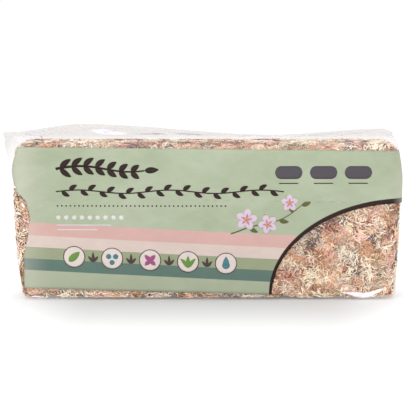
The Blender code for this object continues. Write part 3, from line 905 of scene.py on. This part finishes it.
class Drawing:
    """Flat shapes of one finish, drawn in the front view in millimetres and then laid over a surface."""

    def __init__(self, name, material, lift, node, slot):
        self.name, self.material, self.lift, self.node, self.slot = name, material, lift, node, slot
        self.points, self.faces, self.fades = [], [], []

    def grid(self, rows, closed=False, fades=None):
        """Adds a grid of (x, z) places, with how strong the finish is at each."""
        first, wide = len(self.points), len(rows[0])
        for index, row in enumerate(rows):
            self.points += [(x * MM, z * MM) for x, z in row]
            self.fades += fades[index] if fades else [1.0] * wide
        for low in range(len(rows) - 1):
            for column in range(wide if closed else wide - 1):
                a, b = (first + low * wide + at for at in (column, (column + 1) % wide))
                self.faces.append((a, b, b + wide, a + wide))

    def strip(self, line, width, across=2):
        """A band along a line, with a half-width for each share of its length."""
        rows, fades = [], []
        last = len(line) - 1
        sides = np.linspace(1, -1, across + 1)
        for index, (x, z) in enumerate(line):
            ahead, behind = line[min(index + 1, last)], line[max(index - 1, 0)]
            dx, dz = ahead[0] - behind[0], ahead[1] - behind[1]
            size = math.hypot(dx, dz)
            half = max(width(index / last) if callable(width) else width, 0.05)
            rows.append([(x + dz / size * half * side, z - dx / size * half * side) for side in sides])
            end = math.sin(math.pi * index / last) ** 0.5
            fades.append([end * (1 - side * side) for side in sides])
        self.grid(rows, fades=fades)

    def disc(self, x, z, radius, hole=0.0, sides=36):
        rings = max(2, round((radius - hole) / 1.6) + 1)
        angles = [math.tau * side / sides for side in range(sides)]
        reaches = np.linspace(radius, max(hole, 0.02), rings)
        self.grid(
            [[(x + reach * math.cos(at), z + reach * math.sin(at)) for at in angles] for reach in reaches],
            closed=True,
        )

    def bar(self, x, z, half_length, half_height):
        """A bar with round ends."""

        def width(share):
            inset = max(0.0, abs(share - 0.5) * 2 * half_length - (half_length - half_height))
            return math.sqrt(max(0.0, half_height**2 - inset**2))

        self.strip(stroke(x - half_length, z, 2 * half_length, 24), width, across=6)

    def leaf(self, x, z, degrees, length, half_width, bend=0.0, blunt=0.8):
        """A leaf or petal from its foot, bent to one side."""
        line = []
        heading = math.radians(degrees)
        steps = max(6, round(length / 1.3))
        for _ in range(steps + 1):
            line.append((x, z))
            x += length / steps * math.cos(heading)
            z += length / steps * math.sin(heading)
            heading += math.radians(bend) / steps
        self.strip(line, lambda share: half_width * math.sin(math.pi * share**blunt) ** 0.75, across=4)

    def lay(self, surface, towards=(0, 1, 0), side=(1, 0, 0)):
        """Lays the shapes over a surface as they look along a direction."""
        towards, side = Vector(towards), Vector(side)
        places = []
        for along_side, z in self.points:
            spot = side * along_side + Vector((0, 0, z))
            hit, out, _, _ = surface.ray_cast(spot - towards * 0.3, towards)
            if hit is None:
                hit, out, _, _ = surface.find_nearest(spot - towards * 0.024)
            if out.dot(towards) > 0:
                out = -out
            places.append(hit + out * self.lift)
        fades = np.repeat(self.fades, 4)
        piece = mesh_object(self.name, places, self.faces, self.material, paint=("fade", fades))
        keep(thicken(piece, SHAPE_SKIN), self.node, slot=self.slot)


def stroke(x, z, length, steps, height=0.0, waves=0.0):
    """An even line to the right, which may wave up and down."""
    return [
        (x + length * step / steps, z + height * math.sin(step / steps * math.tau * waves))
        for step in range(steps + 1)
    ]


def draw_garlands(dark, **_):
    """A bold branch, a long garland under it and a row of dots."""
    branch = stroke(-126, 112.5, 74, 60, 2.4, 0.9)
    dark.strip(branch, lambda share: 1.1 - 0.5 * share)
    for index in range(7):
        for hand in (1, -1):
            place = branch[3 + 8 * index]
            dark.leaf(*place, 50 * hand, 12.0 - 0.5 * index, 2.35, bend=-26 * hand, blunt=0.85)
    dark.leaf(*branch[-1], 4, 12.0, 2.6)
    stem = stroke(-126, 93.5, 190, 120, 1.4, 2.5)
    dark.strip(stem, 0.5)
    for index in range(23):
        x, z = stem[3 + index * 5 - index % 2]
        hand = 1 if index % 2 else -1
        dark.leaf(x, z + 0.2 * hand, 44 * hand, 8.0, 1.9, bend=-30 * hand)
    for index in range(40):
        dark.disc(-125 + 3.6 * index, 81.5, 0.7, sides=12)


def draw_bars(dark, grey, white, **_):
    """Three plain bars, each over a fine line, and pale dots over two lines."""
    for x in (68, 97, 126):
        grey.bar(x, 109.5, 11.5, 5.4)
        dark.strip(stroke(x - 8, 100.5, 16, 12), 0.4)
    for index in range(9):
        white.disc(-124.5 + 6.6 * index, 71.5, 2.0, sides=20)
    for reach, z in ((46.0, 65.2), (34.0, 61.2)):
        white.strip(stroke(-126, z, reach, 24), 0.42)


ROUNDEL_PLACES = tuple((-112.0 + 32.0 * index, 38.0 - 1.4 * index) for index in range(5))
ROUNDEL_RADIUS = 9.0
# Three dots in a roundel lie a third of a turn apart.
DOT_TURN = 2.094


def draw_roundels(pale, rim, green, teal, plum, **_):
    """Pale roundels with simple shapes in them, and a small sprig between each two."""
    for index, (x, z) in enumerate(ROUNDEL_PLACES):
        pale.disc(x, z, ROUNDEL_RADIUS)
        rim.disc(x, z, ROUNDEL_RADIUS + 0.3, hole=ROUNDEL_RADIUS - 0.35, sides=48)
        if index < len(ROUNDEL_PLACES) - 1:
            for turn in (50, 90, 130):
                rim.leaf(x + 16, z - 4.4, turn, 8.6 if turn == 90 else 6.6, 1.2)
    bud, dots, flower, shoot, (drop_x, drop_z) = ROUNDEL_PLACES
    green.leaf(bud[0] - 4.6, bud[1] - 4.0, 42, 12.5, 2.9)
    for turn in range(3):
        angle = turn * DOT_TURN + 0.5
        teal.disc(dots[0] + 3.4 * math.cos(angle), dots[1] + 3.4 * math.sin(angle), 2.2, sides=24)
    for turn in range(4):
        plum.leaf(*flower, 45 + 90 * turn, 6.4, 1.9)
    for turn in (62, 90, 118):
        green.leaf(shoot[0], shoot[1] - 5.2, turn, 10.4, 1.7, bend=(turn - 90) * 0.9)
    teal.disc(drop_x, drop_z - 1.6, 3.2, sides=28)
    teal.leaf(drop_x, drop_z - 1.2, 90, 7.2, 2.7, blunt=0.45)


# Each blossom's place, reach and turn.
BLOSSOMS = ((33.0, 70.0, 9.5, 8), (51.0, 66.0, 8.5, 40), (69.0, 84.0, 7.5, 20))


def draw_blossoms(stalk, petals, veins, gold, orange, **_):
    """A low spray of plain five-petalled blossoms."""
    line = []
    for step in range(41):
        share = step / 40
        line.append((20.0 + 62 * share, 58.0 + 27 * share**1.6 + 2.5 * math.sin(math.tau * share)))
    stalk.strip(line, lambda share: 0.6 - 0.3 * share)
    for index, turn in ((10, -40), (18, 80), (26, -20), (33, 100), (38, 10)):
        stalk.leaf(*line[index], turn, 8.5, 1.9, bend=24)
    for x, z, reach, turn in BLOSSOMS:
        for degrees in range(turn, turn + 360, 72):
            petals.leaf(x, z, degrees, reach, reach * 0.36, blunt=1.25)
            veins.leaf(x, z, degrees, reach * 0.55, reach * 0.1)
        gold.disc(x, z, reach * 0.17, sides=20)
        orange.disc(x, z, reach * 0.08, sides=14)


# Each ink's colour, and how many ink layers above the print it lies.
INKS = {
    "dark": (DARK_INK, 1),
    "grey": (srgb(88, 82, 88), 1),
    "white": (srgb(240, 238, 232), 1),
    "pale": (srgb(240, 226, 219), 1),
    "rim": (srgb(84, 70, 66), 2),
    "green": (srgb(112, 158, 74), 2),
    "teal": (srgb(84, 138, 150), 2),
    "plum": (srgb(176, 92, 140), 2),
    "stalk": (srgb(104, 106, 60), 1),
    "petals": (srgb(232, 212, 224), 2),
    "veins": (srgb(208, 140, 182), 3),
    "gold": (srgb(240, 190, 70), 4),
    "orange": (srgb(214, 96, 48), 5),
}


def print_all():
    """The printed layer and the shapes on it."""
    surface = surface_of(keep(printed_layer(print_material()), "front_label", slot="printed_film"))
    inks = {}
    for name, (colour, lift) in INKS.items():
        finish = print_finish(Nodes(f"ink_{name}"), colour)
        inks[name] = Drawing(f"ink_{name}", finish, lift * INK_LIFT, "front_label", "printed_film")
    for draw_some in (draw_garlands, draw_bars, draw_roundels, draw_blossoms):
        draw_some(**inks)
    for shapes in inks.values():
        shapes.lay(surface)


# Folds, painted glints, painted crease shade and loose bits

GABLE_FOOT = BRICK_TOP + FILM_OFFSET
# Thin grey creases on the gable, partly doubled film and partly painted crease shade.
# Places on the gable are x and a share of its height.
GABLE_CREASES = (
    ((-135, 0.46), (-120, 0.74), (-107.5, 0.93)),
    ((-126, 0.28), (-116, 0.6), (-104, 0.84)),
    ((-116, 0.4), (-104, 0.66), (-92, 0.9)),
    ((-97, 0.24), (-86, 0.5), (-74, 0.86)),
    ((-146, 0.74), (-136, 0.84), (-124, 0.9)),
    ((-60, 0.3), (-44, 0.64), (-30, 0.86)),
    ((-30, 0.25), (-14, 0.5), (10, 0.8)),
    ((14, 0.4), (40, 0.6), (58, 0.5)),
    ((70, 0.3), (90, 0.62), (118, 0.8)),
    ((104, 0.3), (124, 0.6), (146, 0.84)),
    ((-166, 0.2), (-163, 0.5), (-160, 0.86)),
)
# Each fold's kind, its line, its half-widths and its columns of faces.
GABLE_FOLDS = (
    ("grey", ((-156, 0.86), (-154, 0.5), (-149, 0.16), (-142, 0.2)), (0.6, 2.2, 1.9, 0.2), 6),
    ("grey", ((-155, 0.82), (-146, 0.6), (-129, 0.48)), (0.8, 2.4, 0.2), 6),
    *(("grey", places, (0.1, 0.45, 0.35, 0.1), 4) for places in GABLE_CREASES),
    ("lilac", ((-99, 0.58), (-84, 0.5), (-66, 0.4)), (0.6, 2.6, 2.0, 0.3), 6),
    ("lilac", ((20, 0.5), (44, 0.45), (70, 0.5)), (0.1, 0.9, 0.1), 4),
    # The dusk strips are painted crease shade in the gable's pleats.
    ("dusk", ((-63, 0.42), (-48, 0.46), (-33, 0.52)), (0.15, 0.5, 0.95, 0.3), 4),
    ("dusk", ((-27.5, 0.52), (-16, 0.56), (-2, 0.52)), (0.5, 0.7, 0.1), 4),
)
# A painted glint on the film near the lower right corner of the front.
CORNER_GLINT = ((112.5, 7.3), (122.7, 5.8), (132.8, 4.1), (139.6, 5.9), (146.4, 9.0), (152.3, 10.7))
# Strips on the front film: the bright ones are painted glints and the dusk one is painted crease shade.
FRONT_GLINTS_AND_SHADE = (
    ("bright", ((139, 2.0), (141.3, 5.2), (146.4, 7.6), (152.0, 9.3)), (0.5, 0.45, 0.1), 4),
    ("bright", ((-161.5, 75.4), (-158, 74.8), (-155.5, 74.0)), (0.1, 1.1, 0.1), 6),
    ("bright", ((-155.4, 84), (-154, 81.5), (-152.6, 79.5)), (0.1, 0.9, 0.1), 6),
    ("bright", ((-150, 3.2), (-146, 3.6), (-140, 3.0)), (0.1, 0.8, 0.1), 6),
    ("dusk", ((143, 10.4), (149.7, 12.6), (155.5, 12.2)), (0.1, 0.4, 0.1), 4),
)
# Each painted glint along a low fold of the back and the ends, with its widest half-width.
BACK_GLINTS = (
    (((-158, 22), (-138, 10), (-108, 6)), 2.4),
    (((-156, 120), (-147, 104), (-143, 84)), 1.8),
    (((-128, 122), (-108, 114), (-80, 111)), 1.4),
    (((-40, 66), (-20, 56), (6, 53)), 1.2),
    (((60, 14), (90, 7), (126, 9)), 2.0),
    (((100, 124), (126, 116), (142, 98)), 1.6),
    (((158, 90), (151, 66), (155, 40)), 1.6),
)
END_GLINTS = (
    (((-14, 116), (-6, 98), (-9, 78)), 0.8),
    (((12, 110), (5, 86), (10, 60)), 0.7),
    (((-12, 40), (-4, 22), (8, 10)), 0.9),
    (((14, 34), (9, 18), (-2, 7)), 0.7),
)


def fold_material(name, colour, cover, roughness=0.2):
    """Doubled film, denser than the rest and soft at its edges. In near-white it is a painted glint, and in
    dark or grey colours it holds painted crease shade.
    """
    nodes = Nodes(name)
    uneven = nodes.noise(nodes.place(), (250.0, 250.0, 400.0), 3.0, 0.6, 0.4)
    part = nodes.range(uneven, 0.35, 0.65, 0.7 * cover, cover)
    nodes.set(Base_Color=colour, Roughness=roughness)
    return nodes.see_through(nodes.math("MULTIPLY", nodes.attribute("fade", "Fac"), part))


def fold(name, colour, cover, lift=1):
    return Drawing(name, fold_material(name, colour, cover), lift * FOLD_LIFT, "film_bag", "clear_film")


def curve(points, steps=24):
    """A smooth line through a few points."""
    points = np.array(points, float)
    padded = np.concatenate([[2 * points[0] - points[1]], points, [2 * points[-1] - points[-2]]])
    line = []
    for at in np.linspace(0, len(points) - 1, steps + 1):
        low = min(int(at), len(points) - 2)
        t = at - low
        a, b, c, d = padded[low : low + 4]
        spline = 2 * b + (c - a) * t + (2 * a - 5 * b + 4 * c - d) * t**2 + (3 * b - a - 3 * c + d) * t**3
        line.append(tuple(0.5 * spline))
    return line


def widths(*values):
    """Half-widths along a strip, from a few of them."""
    return lambda share: float(np.interp(share, np.linspace(0, 1, len(values)), values))


def gable_height(x, share):
    """A height on the gable in millimetres, from a share of its height at x."""
    _, ridge = along(RIDGE_LINE, x * MM)
    return (GABLE_FOOT + (ridge - GABLE_FOOT) * share) / MM


def film_folds(surface):
    """The folds, painted glints and painted shadows in the film of the front, and painted glints along low
    folds on the back and ends.
    """
    folds = {
        # Grey: doubled film at the ear and along the gable's creases, with painted crease shade.
        "grey": fold("fold_grey_and_crease_shade", srgb(196, 190, 196), 0.55),
        "lilac": fold("fold_lilac", srgb(222, 221, 236), 0.6),
        # Painted crease shade: dark strips over the film.
        "dusk": fold("painted_crease_shade", srgb(126, 120, 132), 0.42),
        # Painted glints: near-white, nearly opaque strips over the film.
        "bright": fold("painted_glints", srgb(252, 243, 248), 0.97, lift=2),
    }
    for kind, places, halves, across in GABLE_FOLDS:
        line = [(x, gable_height(x, share)) for x, share in curve(places)]
        folds[kind].strip(line, widths(*halves), across)
    folds["bright"].strip(curve(CORNER_GLINT, 40), widths(0.1, 1.5, 2.8, 3.0, 1.5, 1.0, 0.1), 8)
    for kind, places, halves, across in FRONT_GLINTS_AND_SHADE:
        folds[kind].strip(curve(places), widths(*halves), across)
    for shapes in folds.values():
        shapes.lay(surface)
    for name, lines, narrowing, towards, side in (
        ("painted_glint_back", BACK_GLINTS, 0.7, (0, -1, 0), (1, 0, 0)),
        ("painted_glint_left_end", END_GLINTS, 0.6, (1, 0, 0), (0, 1, 0)),
        ("painted_glint_right_end", END_GLINTS, 0.6, (-1, 0, 0), (0, 1, 0)),
    ):
        # Painted glints: pale, faint strips along low folds.
        shapes = fold(name, srgb(246, 240, 245), 0.38)
        for line, widest in lines:
            shapes.strip(curve(line), widths(0.1, widest, narrowing * widest, 0.1), 6)
        shapes.lay(surface, towards, side)


def tube(name, line, radii, material, sides=8, closed=False):
    """A round stalk along a line of places, or a ring where it is closed."""
    line = np.array(line, float)
    count = len(line)
    if closed:
        ahead = np.roll(line, -1, axis=0) - np.roll(line, 1, axis=0)
    else:
        ahead = np.gradient(line, axis=0)
    ahead /= np.linalg.norm(ahead, axis=1, keepdims=True)
    side = np.cross(ahead, (0.05, 1.0, 0.02))
    side /= np.linalg.norm(side, axis=1, keepdims=True)
    up = np.cross(side, ahead)
    angles = np.arange(sides) / sides * math.tau
    radii = np.broadcast_to(radii, count)[:, None, None]
    ring = np.cos(angles)[None, :, None] * side[:, None] + np.sin(angles)[None, :, None] * up[:, None]
    points = (line[:, None] + radii * ring).reshape(-1, 3)
    faces = []
    for row in range(count if closed else count - 1):
        low, high = row * sides, (row + 1) % count * sides
        for column in range(sides):
            beside = (column + 1) % sides
            faces.append((low + column, low + beside, high + beside, high + column))
    if not closed:
        faces += [tuple(range(sides))[::-1], tuple(range((count - 1) * sides, count * sides))]
    return mesh_object(name, points, faces, material)


def loose_details(surface):
    """A stalk that stands up inside the loose top, two bits of straw held there, and the vents' rims."""
    nodes = Nodes("straw")
    streak = nodes.noise(nodes.place(), (400.0, 400.0, 900.0), 3.0, 0.6)
    colour = nodes.ramp(streak, (0.35, srgb(150, 88, 40)), (0.65, srgb(220, 168, 104)))
    nodes.set(Base_Color=colour, Roughness=0.7)
    nodes.bump(streak, 0.4, 0.2 * MM)
    line = mm((-139.5, -9.5, 132.8), (-139.1, -7.6, 134.8), (-139.5, -5.4, 136.8), (-140.8, -3.6, 138.5))
    stalk = tube("stalk", line, np.array([0.5, 0.45, 0.4, 0.25]) * MM, nodes.material)
    keep(stalk, "moss_block", slot="dried_moss")
    bits = Drawing("straw_bits", nodes.material, -0.5 * MM, "moss_block", "dried_moss")
    for x, share, turn in ((-88, 0.62, -24), (-82, 0.55, 12)):
        bits.leaf(x, gable_height(x, share), turn, 5.0, 0.55)
    bits.lay(surface)
    rim_film = fold_material("welded_rim", srgb(214, 210, 216), 0.8)
    reach = VENT_RADIUS + 0.25 * MM
    for index, (x, z) in enumerate(VENT_PLACES):
        ring = []
        for step in range(40):
            angle = math.tau * step / 40
            spot = Vector((x + reach * math.cos(angle), 0.06, z + reach * math.sin(angle)))
            hit, _, _, _ = surface.ray_cast(spot, Vector((0, -1, 0)))
            ring.append(tuple(hit + Vector((0, 0.1 * MM, 0))))
        made = tube(f"vent_rim_{index + 1}", ring, 0.22 * MM, rim_film, closed=True)
        keep(made, "film_bag", slot="clear_film")


# Stage

CAMERA_HEIGHT_DEGREES = 9.0
CAMERA_DISTANCE = 0.845
LENS = 85.0
AIM = Vector((0.8 * MM, 0.0, 76 * MM))
STUDIO_HORIZON = 1.03
STUDIO_WALLS = 0.8
STUDIO_ROOF = 1.7
FLOOR_SIZE = 40.0
FLOOR_TONE = 0.48
FLOOR_GLOWS = (0.13, 0.4)
FLOOR_FADE = 140 * MM
END_FADE = 72 * MM
END_GLOW = 0.22
FILM_LAYERS_SEEN_THROUGH = 32
# Each light's name, place, the height that it aims at, its size and its power.
LIGHTS = (
    ("key", (-0.5, -0.8, 0.9), 0.06, (0.5, 0.4), 3.0),
    ("front", (0.0, -1.2, 0.2), 0.06, (1.6, 0.4), 8.0),
    ("fill", (0.8, -0.7, 0.5), 0.06, (0.4, 0.4), 0.6),
    ("back", (0.1, 0.75, 1.0), 0.05, (1.2, 0.5), 3.8),
)


def white_floor():
    """A floor that glows more away from the brick and beside its ends, so the shadow stays soft and near."""
    nodes = Nodes("white_floor")
    x, y, _ = nodes.split(nodes.place())
    squares = []
    for axis, half, pace in ((x, BRICK_HALF_LENGTH, 3.0), (y, BRICK_HALF_DEPTH, 1.0)):
        beyond = nodes.math("SUBTRACT", nodes.math("ABSOLUTE", axis), half)
        near = nodes.math("MULTIPLY", nodes.math("MAXIMUM", beyond, 0.0), pace)
        squares.append(nodes.math("POWER", near, 2.0))
    away = nodes.math("SQRT", nodes.math("ADD", *squares))
    glow = nodes.range(away, 0.0, FLOOR_FADE, *FLOOR_GLOWS)
    sideways, depthways = nodes.math("ABSOLUTE", x), nodes.math("ABSOLUTE", y)
    ends = nodes.range(sideways, BRICK_HALF_LENGTH - END_FADE, BRICK_HALF_LENGTH, 0.0, END_GLOW)
    beside = nodes.range(depthways, 80 * MM, 180 * MM, 1.0, 0.0)
    nodes.set(Emission_Strength=nodes.math("ADD", glow, nodes.math("MULTIPLY", ends, beside)))
    nodes.set(Base_Color=(FLOOR_TONE,) * 3, Roughness=0.9, Specular_IOR_Level=0.0)
    nodes.set(Emission_Color=(1.0, 1.0, 1.0))
    corners = [(x * FLOOR_SIZE, y * FLOOR_SIZE, 0) for x, y in ((-1, -1), (1, -1), (1, 1), (-1, 1))]
    mesh_object("floor", corners, [(0, 1, 2, 3)], nodes.material, smooth=False)


def studio():
    """A white room, brighter at the horizon and overhead."""
    world = bpy.data.worlds.new("studio")
    bpy.context.scene.world = world
    nodes = Nodes("studio", world, "Background")
    _, _, up = nodes.split(nodes.place("Generated"))
    walls = nodes.range(up, 0.24, 0.42, STUDIO_HORIZON, STUDIO_WALLS)
    roof = nodes.range(up, 0.55, 0.8, 0.0, STUDIO_ROOF - STUDIO_WALLS)
    nodes.set(Color=(1.0, 1.0, 1.0), Strength=nodes.math("ADD", walls, roof))


def lights():
    for name, place, aim_height, size, power in LIGHTS:
        data = bpy.data.lights.new(name, "AREA")
        data.shape = "RECTANGLE"
        data.size, data.size_y = size
        data.energy = power
        made = bpy.data.objects.new(name, data)
        made.location = place
        beam = Vector((0, 0, aim_height)) - Vector(place)
        made.rotation_euler = beam.to_track_quat("-Z", "Y").to_euler()
        bpy.context.scene.collection.objects.link(made)


def camera():
    data = bpy.data.cameras.new("camera")
    data.lens = LENS
    data.sensor_width = 36.0
    data.clip_start = 0.01
    made = bpy.data.objects.new("camera", data)
    lift = math.radians(CAMERA_HEIGHT_DEGREES)
    look = Vector((0, -math.cos(lift), math.sin(lift)))
    made.location = AIM + look * CAMERA_DISTANCE
    made.rotation_euler = look.to_track_quat("Z", "Y").to_euler()
    bpy.context.scene.collection.objects.link(made)
    bpy.context.scene.camera = made


moss()
film = keep(film_skin(film_material()), "film_bag", slot="clear_film")
print_all()
film_surface = surface_of(film)
film_folds(film_surface)
loose_details(film_surface)
white_floor()
studio()
lights()
camera()
bpy.context.scene.view_settings.view_transform = "Standard"
# Rays along the gable pass many layers of film and would otherwise end black.
bpy.context.scene.cycles.transparent_max_bounces = FILM_LAYERS_SEEN_THROUGH

bpy.context.view_layer.update()
